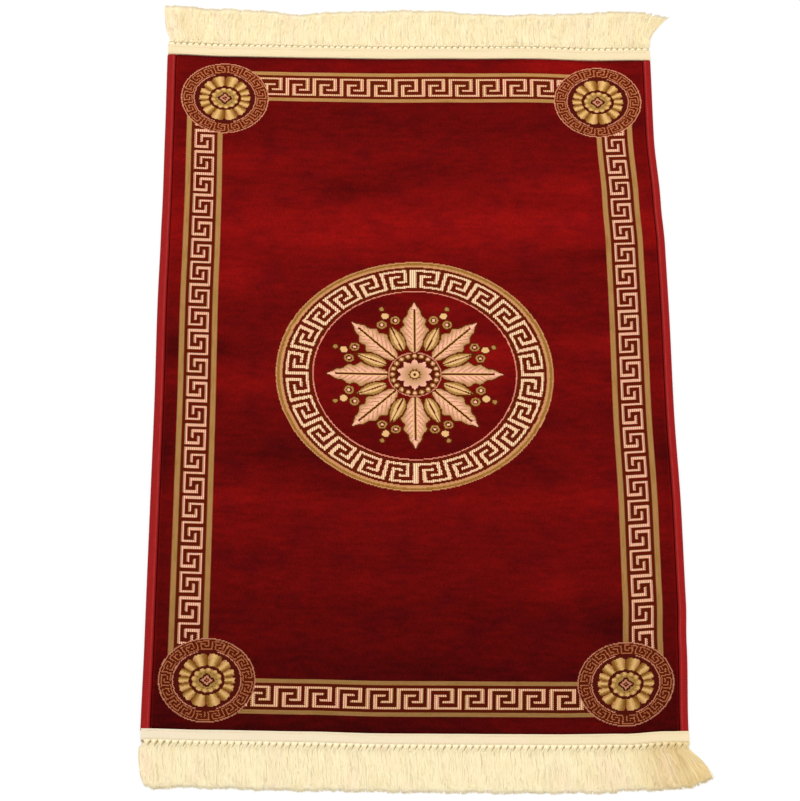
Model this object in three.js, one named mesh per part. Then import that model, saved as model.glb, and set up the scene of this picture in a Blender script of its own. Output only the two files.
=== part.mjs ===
// Fringed woven rug, 50 x 80 cm: one flat pile body, an overcast yarn edge down each long side, and
// a sewn heading tape with its cut fringe across each short end.
// Millimetres, +Z up. The rug lies on z = 0 with its length along Y; "far" is +Y and "near" is -Y.
import * as THREE from 'three';

// ---- driving dimensions ----
const width = 500; // over both overcast edges
const length = 800; // pile, from tape to tape
const fitGap = 0.3; // between neighbouring pieces

const pileTop = 7; // pile surface above the floor
const groundTop = 2.4; // bare ground cloth under the tapes
const groundStrip = 9; // how far the ground cloth runs on under each tape
const selvedgeInset = 3; // selvedge, held inside the overcast edge
const selvedgeBottom = 1.5;
const selvedgeTop = 3.1;
const overcastWidth = 8;
const tapeWidth = 12.4;
const fringeRoot = 12.7; // where the fringe's spine starts, out from the pile's end
const fringeSpine = 3.3;
const fringeThickness = 2.4;
const bundleCount = 78; // fringe bundles across one end
const bundleGap = 0.8;
const strandCurve = 1.5; // a leaning bundle leaves the spine straight and curves over this power
const toothSteps = [0, 0.5, 0.97]; // root, middle and shoulder of a tooth, as shares of its length
const alongPitch = 50; // between cross sections along the rug
const acrossPitch = 25; // between points across it

const colours = { pile: 0x76110f, overcast: 0xaa2323, tape: 0xf6e6c0, fringe: 0xfaecc4 };

// ---- how the rug lies: small tables, read with a smooth step between their rows ----

// How far each long edge lies to the right (+X) of a straight line.
const sideBow = [
  { along: -400, left: 0.1, right: -0.1 },
  { along: -305, left: 0.6, right: 2.8 },
  { along: -260, left: 0.6, right: 4.4 },
  { along: -150, left: 0.8, right: 5.0 },
  { along: -45, left: 1.0, right: 3.6 },
  { along: 85, left: 0.2, right: 4.4 },
  { along: 160, left: 0.8, right: 4.2 },
  { along: 215, left: 1.2, right: 2.4 },
  { along: 300, left: 0.9, right: -0.8 },
  { along: 400, left: 0.3, right: -0.1 },
];

// How far each end of the pile lies beyond (+Y) a straight line across.
const endBow = [
  { across: -250, far: 0.3, near: -0.5 },
  { across: -190, far: -1.8, near: -1.6 },
  { across: -100, far: -2.7, near: -2.6 },
  { across: -30, far: -2.9, near: -4.0 },
  { across: 50, far: -1.7, near: -3.9 },
  { across: 125, far: -0.4, near: -3.7 },
  { across: 190, far: -2.1, near: -2.6 },
  { across: 230, far: -1.0, near: 0.4 },
  { across: 250, far: -0.6, near: 0.9 },
];

// Fringe at each end: how far its cut tips reach past the straight end line, how far they lean
// to the right, and how far the bundles bow sideways at mid length.
const fringeLie = [
  { across: -250, farReach: 71.0, farLean: -6.0, nearReach: 57.0, nearLean: 4.5, nearBow: -3.5 },
  { across: -236, farReach: 70.0, farLean: -1.0, nearReach: 59.5, nearLean: 2.0, nearBow: -1.5 },
  { across: -205, farReach: 67.0, farLean: 3.0, nearReach: 58.5, nearLean: 1.0, nearBow: 0 },
  { across: -170, farReach: 66.0, farLean: 5.0, nearReach: 59.5, nearLean: 0.0, nearBow: 0 },
  { across: -118, farReach: 60.5, farLean: 5.0, nearReach: 61.0, nearLean: 0.0, nearBow: 0 },
  { across: -80, farReach: 65.0, farLean: 4.0, nearReach: 61.0, nearLean: 0.0, nearBow: 0 },
  { across: 10, farReach: 68.0, farLean: 3.0, nearReach: 62.0, nearLean: 0.0, nearBow: 0 },
  { across: 92, farReach: 63.0, farLean: 2.0, nearReach: 62.0, nearLean: 0.0, nearBow: 0 },
  { across: 160, farReach: 65.5, farLean: 2.0, nearReach: 61.5, nearLean: 1.0, nearBow: 0 },
  { across: 205, farReach: 69.0, farLean: 4.0, nearReach: 58.5, nearLean: 5.0, nearBow: 0 },
  { across: 236, farReach: 70.0, farLean: 9.0, nearReach: 57.0, nearLean: 13.0, nearBow: 0.5 },
  { across: 250, farReach: 62.0, farLean: 22.5, nearReach: 48.0, nearLean: 21.5, nearBow: 1.5 },
];

// Soft rises that are left across the pile from having been rolled up.
const rollMarks = [
  { along: -290, reach: 70, lift: 0.35 },
  { along: -120, reach: 80, lift: 0.45 },
  { along: 60, reach: 75, lift: 0.4 },
  { along: 215, reach: 65, lift: 0.5 },
];

// ---- cross sections ----

// Pile body at its long edge: the underside, then the top with as many points.
const edgeUnderside = [
  { inward: selvedgeInset, height: selvedgeBottom },
  { inward: 8.3, height: selvedgeBottom },
  { inward: 8.6, height: 0 },
  { inward: 9.5, height: 0 },
  { inward: 12, height: 0 },
];
const edgeTopside = [
  { inward: selvedgeInset, height: selvedgeTop },
  { inward: 8.3, height: selvedgeTop },
  { inward: 8.6, height: 5.2 },
  { inward: 9.5, height: 6.5 },
  { inward: 12, height: pileTop },
];

// The pile's rounded shoulder at each end, out to the low ground cloth under the tape.
const endShoulder = [
  { fromEnd: 3, top: pileTop },
  { fromEnd: 1.2, top: 6.6 },
  { fromEnd: 0.15, top: 5.4 },
  { fromEnd: 0, top: groundTop },
  { fromEnd: -groundStrip, top: groundTop },
];

// Overcast edge: a round-backed wrap of yarn with a slot that holds the selvedge.
const overcastOutline = [
  { inward: overcastWidth, height: 0 },
  { inward: 1.8, height: 0 },
  { inward: 0.5, height: 1.1 },
  { inward: 0, height: 2.6 },
  { inward: 0.4, height: 4.2 },
  { inward: 1.6, height: 5.4 },
  { inward: 3.6, height: 5.9 },
  { inward: 6.2, height: 5.6 },
  { inward: 7.7, height: 4.6 },
  { inward: overcastWidth, height: selvedgeTop + fitGap },
  { inward: selvedgeInset - fitGap, height: selvedgeTop + fitGap },
  { inward: selvedgeInset - fitGap, height: selvedgeBottom - fitGap },
  { inward: overcastWidth, height: selvedgeBottom - fitGap },
];

// Heading tape: over the ground cloth, then down to the floor outside it.
const tapeOutline = [
  { outward: fitGap, height: groundTop + fitGap },
  { outward: fitGap, height: 5.9 },
  { outward: 1.0, height: 6.6 },
  { outward: 2.4, height: 6.5 },
  { outward: 4.5, height: 5.6 },
  { outward: 9.0, height: 4.9 },
  { outward: 11.6, height: 4.2 },
  { outward: tapeWidth, height: 3.0 },
  { outward: tapeWidth, height: 0 },
  { outward: groundStrip + fitGap, height: 0 },
  { outward: groundStrip + fitGap, height: groundTop + fitGap },
];

// ---- reading the tables and laying the rug out ----

// A column of a table at a place, with an eased step between the two rows around it.
function readTable(rows, keyColumn, valueColumn, at) {
  const last = rows.length - 1;
  if (at <= rows[0][keyColumn]) return rows[0][valueColumn];
  if (at >= rows[last][keyColumn]) return rows[last][valueColumn];
  const next = rows.findIndex((row) => row[keyColumn] > at);
  const before = rows[next - 1];
  const after = rows[next];
  const share = THREE.MathUtils.smoothstep(at, before[keyColumn], after[keyColumn]);
  return THREE.MathUtils.lerp(before[valueColumn], after[valueColumn], share);
}

// Where a point of the square-cut cloth lies: its place across and along, moved by both bows.
function layOut(across, along) {
  const toRight = THREE.MathUtils.clamp(across / width + 0.5, 0, 1);
  const toFar = THREE.MathUtils.clamp(along / length + 0.5, 0, 1);
  const left = readTable(sideBow, 'along', 'left', along);
  const right = readTable(sideBow, 'along', 'right', along);
  const near = readTable(endBow, 'across', 'near', across);
  const far = readTable(endBow, 'across', 'far', across);
  const x = across + THREE.MathUtils.lerp(left, right, toRight);
  const y = along + THREE.MathUtils.lerp(near, far, toFar);
  return new THREE.Vector2(x, y);
}

// Height that the roll marks add to the pile surface.
function rollLift(along) {
  return rollMarks.reduce((sum, mark) => {
    const away = Math.abs(along - mark.along) / mark.reach;
    return sum + (away < 1 ? mark.lift * (1 - THREE.MathUtils.smoothstep(away, 0, 1)) : 0);
  }, 0);
}

// Evenly spaced places from one value to another, both ends included.
function spread(from, to, pitch) {
  const steps = Math.round((to - from) / pitch);
  return Array.from({ length: steps + 1 }, (_, step) => from + ((to - from) * step) / steps);
}

const freeStations = spread(alongPitch - length / 2, length / 2 - alongPitch, alongPitch);
const levelPoints = spread(acrossPitch - width / 2, width / 2 - acrossPitch, acrossPitch);

// ---- solids ----

// Volume inside a closed triangle mesh; negative when its faces point inward.
function signedVolume(points, triangles) {
  const cross = new THREE.Vector3();
  let sum = 0;
  for (let i = 0; i < triangles.length; i += 3) {
    const [a, b, c] = [points[triangles[i]], points[triangles[i + 1]], points[triangles[i + 2]]];
    sum += a.dot(cross.crossVectors(b, c)) / 6;
  }
  return sum;
}

// A closed solid through a row of rings with equal point counts. The cap's triangles fill a ring,
// turning the way its points run.
function solidThroughRings(rings, cap) {
  const points = rings.flat();
  const ringSize = rings[0].length;
  const lastRing = (rings.length - 1) * ringSize;
  const triangles = [];
  for (let here = 0; here < lastRing; here += 1) {
    const beside = (here + 1) % ringSize === 0 ? here + 1 - ringSize : here + 1;
    triangles.push(here, beside, beside + ringSize, here, beside + ringSize, here + ringSize);
  }
  for (const [a, b, c] of cap) {
    triangles.push(b, a, c, lastRing + a, lastRing + b, lastRing + c);
  }
  if (signedVolume(points, triangles) < 0) triangles.reverse();
  const geometry = new THREE.BufferGeometry().setFromPoints(points);
  geometry.setIndex(triangles);
  geometry.computeVertexNormals();
  return geometry;
}

// Cap triangles for a ring with this outline, which has no three points in line.
function outlineCap(outline) {
  const corners = outline.map(([u, v]) => new THREE.Vector2(u, v));
  const anticlockwise = THREE.ShapeUtils.area(corners) > 0;
  const cap = THREE.ShapeUtils.triangulateShape(corners, []);
  return anticlockwise ? cap : cap.map(([a, b, c]) => [b, a, c]);
}

// Cap triangles for a ring that runs out along its underside and back over as many top points.
function stripCap(ringSize) {
  const cap = [];
  for (let under = 0; under < ringSize / 2 - 1; under += 1) {
    const over = ringSize - 1 - under;
    cap.push([under, under + 1, over], [under + 1, over - 1, over]);
  }
  return cap;
}

// One side of the body from its left edge to its right: both edges, and level points between.
function bodySide(edgeRows, level) {
  return [
    ...edgeRows.map((row) => ({ across: row.inward - width / 2, height: row.height })),
    ...levelPoints.map((across) => ({ across, height: level })),
    ...edgeRows.map((row) => ({ across: width / 2 - row.inward, height: row.height })).reverse(),
  ];
}

// The body's ring at one place along the rug: the underside, then back over the top, which is
// raised by the roll marks and kept under the given height.
function bodyRing(along, topLimit) {
  const raised = bodySide(edgeTopside, pileTop).map(({ across, height }) => {
    const lift = height < pileTop ? 0 : rollLift(along);
    return { across, height: Math.min(height + lift, topLimit) };
  });
  return [...bodySide(edgeUnderside, 0), ...raised.reverse()];
}

function pileBodyGeometry() {
  const ends = endShoulder.map((row) => ({ along: length / 2 - row.fromEnd, top: row.top }));
  const stations = [
    ...ends.map((row) => ({ along: -row.along, top: row.top })).reverse(),
    ...freeStations.map((along) => ({ along, top: Infinity })),
    ...ends,
  ];
  const rings = stations.map((station) =>
    bodyRing(station.along, station.top).map(({ across, height }) => {
      const place = layOut(across, station.along);
      return new THREE.Vector3(place.x, place.y, height);
    }),
  );
  return solidThroughRings(rings, stripCap(rings[0].length));
}

// side is -1 for the left edge, 1 for the right.
function overcastGeometry(side) {
  const endTurn = length / 2 - endShoulder[0].fromEnd;
  const stations = [-length / 2, -endTurn, ...freeStations, endTurn, length / 2];
  const rings = stations.map((along) =>
    overcastOutline.map((point) => {
      const place = layOut(side * (width / 2 - point.inward), along);
      return new THREE.Vector3(place.x, place.y, point.height);
    }),
  );
  return solidThroughRings(rings, outlineCap(overcastOutline.map((p) => [p.inward, p.height])));
}

// end is 1 for the far end, -1 for the near one.
function headingTapeGeometry(end) {
  const pileEdge = width / 2 - edgeTopside.at(-1).inward;
  const stations = [-width / 2, -pileEdge, ...levelPoints, pileEdge, width / 2];
  const rings = stations.map((across) =>
    tapeOutline.map((point) => {
      const place = layOut(across, end * (length / 2 + point.outward));
      return new THREE.Vector3(place.x, place.y, point.height);
    }),
  );
  return solidThroughRings(rings, outlineCap(tapeOutline.map((p) => [p.outward, p.height])));
}

// Where the fringe lies: a place across the root, and how far down the strands from 0 to 1.
function fringePoint(end, across, down, extraReach) {
  const name = end > 0 ? 'far' : 'near';
  const root = layOut(across, end * (length / 2 + fringeRoot + fringeSpine));
  const reach = readTable(fringeLie, 'across', `${name}Reach`, across) + extraReach;
  const lean = readTable(fringeLie, 'across', `${name}Lean`, across);
  const bow = end > 0 ? 0 : readTable(fringeLie, 'across', 'nearBow', across);
  const tipY = end * (length / 2 + reach);
  return new THREE.Vector2(
    root.x + lean * down ** strandCurve + bow * Math.sin(Math.PI * down),
    THREE.MathUtils.lerp(root.y, tipY, down),
  );
}

// How much further than its neighbours a bundle was left by the shears.
function cutUnevenness(bundle) {
  return 0.7 * Math.sin(bundle * 2.4) + 0.5 * Math.sin(bundle * 0.9);
}

// A comb: a spine along the tape, and one tooth for each bundle of strands.
function fringeGeometry(end) {
  const halfSpan = width / 2 - 1;
  const bundlePitch = (2 * halfSpan) / bundleCount;
  const outline = [];
  for (let bundle = 0; bundle < bundleCount; bundle += 1) {
    const left = -halfSpan + bundle * bundlePitch + bundleGap / 2;
    const right = left + bundlePitch - bundleGap;
    const uneven = cutUnevenness(bundle);
    outline.push(
      ...toothSteps.map((down) => fringePoint(end, left, down, uneven)),
      fringePoint(end, (left + right) / 2, 1, uneven),
      ...toothSteps.map((down) => fringePoint(end, right, down, uneven)).reverse(),
    );
  }
  const spineEdge = [-halfSpan, ...levelPoints, halfSpan];
  outline.push(
    ...spineEdge.map((across) => layOut(across, end * (length / 2 + fringeRoot))).reverse(),
  );
  return new THREE.ExtrudeGeometry(new THREE.Shape(outline), {
    depth: fringeThickness,
    bevelEnabled: false,
  });
}

// ---- the rug ----

function clothPiece(name, geometry, colour, roughness) {
  const material = new THREE.MeshStandardMaterial({ color: colour, roughness, metalness: 0 });
  const mesh = new THREE.Mesh(geometry, material);
  mesh.name = name;
  return mesh;
}

const rug = new THREE.Group();
rug.add(clothPiece('pile_body', pileBodyGeometry(), colours.pile, 0.9));
rug.add(clothPiece('side_overcast_left', overcastGeometry(-1), colours.overcast, 0.75));
rug.add(clothPiece('side_overcast_right', overcastGeometry(1), colours.overcast, 0.75));
rug.add(clothPiece('heading_tape_far', headingTapeGeometry(1), colours.tape, 0.85));
rug.add(clothPiece('heading_tape_near', headingTapeGeometry(-1), colours.tape, 0.85));
rug.add(clothPiece('fringe_far', fringeGeometry(1), colours.fringe, 0.8));
rug.add(clothPiece('fringe_near', fringeGeometry(-1), colours.fringe, 0.8));

// The origin is the middle of the whole rug's footprint, on the floor.
const footprint = new THREE.Box3().setFromObject(rug, true);
const middle = footprint.getCenter(new THREE.Vector3());
rug.position.set(-middle.x, -middle.y, 0);

export default rug;
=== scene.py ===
import bpy
import math
import numpy as np
from mathutils import Matrix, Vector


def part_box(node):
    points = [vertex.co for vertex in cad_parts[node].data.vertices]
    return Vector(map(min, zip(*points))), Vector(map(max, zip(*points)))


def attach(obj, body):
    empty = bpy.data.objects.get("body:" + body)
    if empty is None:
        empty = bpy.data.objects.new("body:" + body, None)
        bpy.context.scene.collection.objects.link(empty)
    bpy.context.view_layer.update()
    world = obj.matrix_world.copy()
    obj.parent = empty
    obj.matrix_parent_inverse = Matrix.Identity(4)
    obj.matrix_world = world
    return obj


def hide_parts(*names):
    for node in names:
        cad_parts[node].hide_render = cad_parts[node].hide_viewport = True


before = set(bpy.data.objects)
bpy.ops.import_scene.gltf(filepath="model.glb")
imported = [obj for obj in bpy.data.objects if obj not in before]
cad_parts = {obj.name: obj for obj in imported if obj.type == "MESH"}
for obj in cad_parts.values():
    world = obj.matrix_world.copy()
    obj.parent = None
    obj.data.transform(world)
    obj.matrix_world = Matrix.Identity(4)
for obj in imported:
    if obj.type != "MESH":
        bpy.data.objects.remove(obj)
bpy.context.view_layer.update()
chance = np.random.default_rng(7)
print("frame loaded")

# The rug, 50 x 80 cm without its fringe. Lengths are in millimetres until a mesh is made:
# x runs across the rug and y along it, +y being the far end.

rug = {
    "width": 500,  # over both overcast edges
    "length": 800,  # the pile, from tape to tape
    "pileTop": 7.0,
}

# how far each long edge lies to the right of a straight line: along, left edge, right edge
sideBow = [
    (-400, 0.1, -0.1), (-305, 0.6, 2.8), (-260, 0.6, 4.4), (-150, 0.8, 5.0), (-45, 1.0, 3.6),
    (85, 0.2, 4.4), (160, 0.8, 4.2), (215, 1.2, 2.4), (300, 0.9, -0.8), (400, 0.3, -0.1),
]

# how far each end lies beyond a straight line: across, far end, near end
endBow = [
    (-250, 0.3, -0.5), (-190, -1.8, -1.6), (-100, -2.7, -2.6), (-30, -2.9, -4.0), (50, -1.7, -3.9),
    (125, -0.4, -3.7), (190, -2.1, -2.6), (230, -1.0, 0.4), (250, -0.6, 0.9),
]

# soft rises left across the pile from having been rolled up: along, reach, lift
rollMarks = [(-290, 70, 0.35), (-120, 80, 0.45), (60, 75, 0.40), (215, 65, 0.50)]


def smoothStep(share):
    share = np.clip(share, 0, 1)
    return share * share * (3 - 2 * share)


def readTable(rows, column, at):
    # a column of a table, with an eased step between the two rows around the place
    table = np.array(rows, float)
    at = np.clip(np.asarray(at, float), table[0, 0], table[-1, 0])
    before = np.clip(np.searchsorted(table[:, 0], at, side="right") - 1, 0, len(table) - 2)
    share = (at - table[before, 0]) / (table[before + 1, 0] - table[before, 0])
    low, high = table[before, column], table[before + 1, column]
    return low + (high - low) * smoothStep(share)


def layOut(across, along):
    # where a point of the square-cut cloth lies
    across, along = np.broadcast_arrays(np.asarray(across, float), np.asarray(along, float))
    toRight = np.clip(across / rug["width"] + 0.5, 0, 1)
    toFar = np.clip(along / rug["length"] + 0.5, 0, 1)
    x = across + readTable(sideBow, 1, along) * (1 - toRight) + readTable(sideBow, 2, along) * toRight
    y = along + readTable(endBow, 2, across) * (1 - toFar) + readTable(endBow, 1, across) * toFar
    return x, y


def rollLift(along):
    lift = 0
    for middle, reach, height in rollMarks:
        lift = lift + height * (1 - smoothStep(np.abs(along - middle) / reach))
    return lift


def rugMiddle():
    # the rug's own middle in the row frame: from the tape's left and right ends,
    # and from an overcast edge's far end
    tapeLow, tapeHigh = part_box("heading_tape_far")
    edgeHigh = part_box("side_overcast_left")[1]
    leftEnd = layOut(-rug["width"] / 2, rug["length"] / 2)
    rightEnd = layOut(rug["width"] / 2, rug["length"] / 2)
    x = (tapeLow.x + tapeHigh.x) * 500 - (leftEnd[0] + rightEnd[0]) / 2
    y = edgeHigh.y * 1000 - leftEnd[1]
    return np.array([x, y, 0.0])


middle = rugMiddle()
print("rug middle in the row frame, mm:", middle.round(2))


def wallFaces(rings, size, first=0, closed=True):
    # quads between rings of points that follow each other
    ring = np.arange(rings - 1)[:, None] * size
    spot = np.arange(size if closed else size - 1)[None, :]
    beside = (spot + 1) % size
    quads = np.stack([ring + spot, ring + beside, ring + size + beside, ring + size + spot], -1)
    return quads.reshape(-1, 4) + first


def makePiece(name, points, faces, node, numbers=None, vectors=None, uv=None, flip=False):
    # points in rug millimetres; faces as a list of index lists
    mesh = bpy.data.meshes.new(name)
    faces = [list(face)[::-1] for face in faces] if flip else faces
    mesh.from_pydata(((np.asarray(points) + middle) * 0.001).tolist(), [], faces)
    for label, values in (numbers or {}).items():
        layer = mesh.attributes.new(label, "FLOAT", "POINT")
        layer.data.foreach_set("value", np.asarray(values, np.float32).ravel())
    for label, values in (vectors or {}).items():
        layer = mesh.attributes.new(label, "FLOAT_VECTOR", "POINT")
        layer.data.foreach_set("vector", np.asarray(values, np.float32).ravel())
    if uv is not None:
        corners = np.zeros(len(mesh.loops), np.int32)
        mesh.loops.foreach_get("vertex_index", corners)
        layer = mesh.uv_layers.new(name="OFBake")
        places = uv(corners) if callable(uv) else np.asarray(uv)[corners]
        layer.data.foreach_set("uv", np.asarray(places, np.float32).ravel())
    mesh.shade_smooth()
    mesh.update()
    piece = bpy.data.objects.new(name, mesh)
    bpy.context.scene.collection.objects.link(piece)
    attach(piece, "root")
    if node:
        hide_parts(node)
    print(f"{name}: {len(mesh.polygons)} faces")
    return piece


class Wire:
    # one value on its way through a node tree
    def __init__(self, tree, socket):
        self.tree = tree
        self.socket = socket

    def __add__(self, other):
        return calc(self.tree, "ADD", self, other)

    def __radd__(self, other):
        return calc(self.tree, "ADD", other, self)

    def __sub__(self, other):
        return calc(self.tree, "SUBTRACT", self, other)

    def __rsub__(self, other):
        return calc(self.tree, "SUBTRACT", other, self)

    def __mul__(self, other):
        return calc(self.tree, "MULTIPLY", self, other)

    def __rmul__(self, other):
        return calc(self.tree, "MULTIPLY", other, self)

    def __truediv__(self, other):
        return calc(self.tree, "DIVIDE", self, other)

    def __pow__(self, other):
        return calc(self.tree, "POWER", self, other)

    def __mod__(self, other):
        return calc(self.tree, "FLOORED_MODULO", self, other)

    def __abs__(self):
        return calc(self.tree, "ABSOLUTE", self)

    def whole(self):
        return calc(self.tree, "FLOOR", self)

    def sign(self):
        return calc(self.tree, "SIGN", self)

    def sine(self):
        return calc(self.tree, "SINE", self)

    def below(self, limit):
        return calc(self.tree, "LESS_THAN", self, limit)

    def above(self, limit):
        return calc(self.tree, "GREATER_THAN", self, limit)

    def between(self, low, high):
        return calc(self.tree, "COMPARE", self, (low + high) / 2, (high - low) / 2)

    def orElse(self, other):
        return calc(self.tree, "MAXIMUM", self, other)


def plug(tree, value, socket):
    if isinstance(value, Wire):
        tree.links.new(value.socket, socket)
    elif isinstance(value, tuple) and len(value) == 3 and len(socket.default_value) == 4:
        socket.default_value = (*value, 1)
    else:
        socket.default_value = value


def calc(tree, operation, *values):
    node = tree.nodes.new("ShaderNodeMath")
    node.operation = operation
    for value, socket in zip(values, node.inputs):
        plug(tree, value, socket)
    return Wire(tree, node.outputs[0])


def pick(tree, mask, chosen, other):
    # a number: chosen where the mask is 1, other where it is 0
    node = tree.nodes.new("ShaderNodeMix")
    plug(tree, mask, node.inputs[0])
    plug(tree, other, node.inputs[2])
    plug(tree, chosen, node.inputs[3])
    return Wire(tree, node.outputs[0])


def paint(tree, base, mask, colour):
    # a colour over the base where the mask is 1
    node = tree.nodes.new("ShaderNodeMix")
    node.data_type = "RGBA"
    plug(tree, mask, node.inputs[0])
    plug(tree, base, node.inputs[6])
    plug(tree, colour, node.inputs[7])
    return Wire(tree, node.outputs[2])


def shaded(tree, colour, amount):
    # a colour made lighter or darker by an amount around 1
    node = tree.nodes.new("ShaderNodeVectorMath")
    node.operation = "SCALE"
    plug(tree, colour, node.inputs[0])
    plug(tree, amount, node.inputs[3])
    return Wire(tree, node.outputs[0])


def vector(tree, x, y, z=0.0):
    node = tree.nodes.new("ShaderNodeCombineXYZ")
    for value, socket in zip((x, y, z), node.inputs):
        plug(tree, value, socket)
    return Wire(tree, node.outputs[0])


def readVector(tree, label):
    source = tree.nodes.new("ShaderNodeAttribute")
    source.attribute_name = label
    split = tree.nodes.new("ShaderNodeSeparateXYZ")
    tree.links.new(source.outputs["Vector"], split.inputs[0])
    return [Wire(tree, out) for out in split.outputs]


def readNumber(tree, label):
    source = tree.nodes.new("ShaderNodeAttribute")
    source.attribute_name = label
    return Wire(tree, source.outputs["Fac"])


def noise(tree, place, scale, detail=2.0, roughness=0.5):
    node = tree.nodes.new("ShaderNodeTexNoise")
    plug(tree, place, node.inputs["Vector"])
    node.inputs["Scale"].default_value = scale
    node.inputs["Detail"].default_value = detail
    node.inputs["Roughness"].default_value = roughness
    return Wire(tree, node.outputs[0])


def speckle(tree, place):
    node = tree.nodes.new("ShaderNodeTexWhiteNoise")
    plug(tree, place, node.inputs["Vector"])
    return Wire(tree, node.outputs["Value"])


def dye(red, green, blue):
    # a dye lot as it reads on a colour card, 0 to 255, as the linear values that Blender wants
    def linear(part):
        part = part / 255
        return part / 12.92 if part <= 0.04045 else ((part + 0.055) / 1.055) ** 2.4
    return linear(red), linear(green), linear(blue)


def newMaterial(name):
    material = bpy.data.materials.new(name)
    material.use_nodes = True
    tree = material.node_tree
    shader = tree.nodes["Principled BSDF"]
    return material, tree, shader


def bump(tree, shader, height, strength, distance):
    node = tree.nodes.new("ShaderNodeBump")
    node.inputs["Strength"].default_value = strength
    node.inputs["Distance"].default_value = distance
    plug(tree, height, node.inputs["Height"])
    tree.links.new(node.outputs[0], shader.inputs["Normal"])


pileBody = {
    "acrossPitch": 2.2,  # between mesh columns
    "alongPitch": 2.35,  # between mesh rows
    "underPitch": 25,
    "tuftUneven": 0.05,  # how far single tufts stand up or down
    "softWaves": (0.10, 0.08),  # height of the two slow waves across the pile
    # where the face and the back lie in the bake: size, start across, start along
    "bakeSpan": 820,
    "bakeFace": (0.99, 0.004, 0.004),
    "bakeBack": (0.6, 0.63, 0.004),
    # long edges: in from the edge, height. The first is the selvedge inside the overcast edge.
    "edgeTop": [
        (3, 3.1), (8.3, 3.1), (8.4, 4.3), (8.6, 5.2), (9.0, 5.95), (9.5, 6.45), (10.5, 6.8), (12, 7.0),
    ],
    "edgeUnder": [(3, 1.5), (8.3, 1.5), (8.6, 0), (12, 0)],
    # short ends: in from the end, how high the pile may be. The last stretch is the bare ground cloth
    # that runs on under the tape.
    "endTop": [(3, 7.0), (1.8, 6.85), (1.2, 6.6), (0.5, 6.1), (0.15, 5.4), (0, 2.4), (-9, 2.4)],
}

# painted sheen and shade: how the pile leans, which makes it read light or dark, with painted shadow at
# both ends beside the tape: along, level
napSheenLevels = [
    (-400, 0.08), (-392, 0.12), (-340, 0.16), (-300, 0.24), (-270, 0.26), (-240, 0.34), (-205, 0.36),
    (-170, 0.42), (-147, 0.48), (-125, 0.37), (-95, 0.28), (-55, 0.34), (-12, 0.46), (25, 0.38), (60, 0.38),
    (100, 0.42), (128, 0.45), (150, 0.56), (168, 0.66), (186, 0.68), (212, 0.56), (240, 0.45), (268, 0.46),
    (288, 0.40), (310, 0.34), (345, 0.36), (392, 0.45), (400, 0.2),
]

# painted sheen and shade: places where it was brushed lighter or darker: across, along, reach across, reach
# along, lift
napSheenPatches = [
    (-190, 262, 120, 22, 0.16),
    (15, 256, 90, 26, -0.10),
    (165, 232, 120, 26, 0.22),
    (-65, 226, 70, 24, -0.20),
    (115, 188, 130, 26, 0.16),
    (-205, 190, 60, 16, -0.16),
    (-75, 164, 90, 16, 0.12),
    (195, 146, 90, 20, -0.28),
    (-190, 116, 75, 34, 0.26),
    (130, 118, 120, 24, -0.10),
    (-75, 78, 100, 30, -0.12),
    (30, 78, 40, 20, 0.18),
    (-215, 28, 80, 28, -0.20),
    (75, 28, 60, 44, 0.28),
    (180, 34, 90, 26, 0.20),
    (-150, -14, 60, 20, 0.10),
    (-105, -96, 80, 26, -0.10),
    (165, -92, 80, 40, 0.14),
    (185, -136, 70, 24, 0.20),
    (-175, -147, 60, 14, 0.10),
    (-60, -135, 80, 24, -0.12),
    (38, -147, 34, 12, 0.12),
    (-244, -120, 30, 260, -0.16),
    (244, -110, 28, 110, -0.12),
    (125, -238, 44, 34, 0.12),
    (188, -286, 44, 34, -0.14),
    (-10, -330, 90, 18, -0.05),
    (150, 392, 70, 22, 0.34),
    (-170, 392, 110, 20, -0.10),
    (130, -392, 120, 16, 0.14),
]

# painted shade: the design is painted darker towards the near end and lighter at the far end: along, light
paintedDesignShade = [(-400, 0.65), (-330, 0.70), (-230, 0.84), (0, 0.90), (230, 0.94), (300, 1.0), (400, 1.08)]


# painted sheen and shade of the pile at a place, from its lean
def napSheenAt(across, along):
    level = readTable(napSheenLevels, 1, along)
    for x, y, reachAcross, reachAlong, lift in napSheenPatches:
        away = np.hypot((across - x) / reachAcross, (along - y) / reachAlong)
        level = level + lift * (1 - smoothStep(away))
    return level


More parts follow.
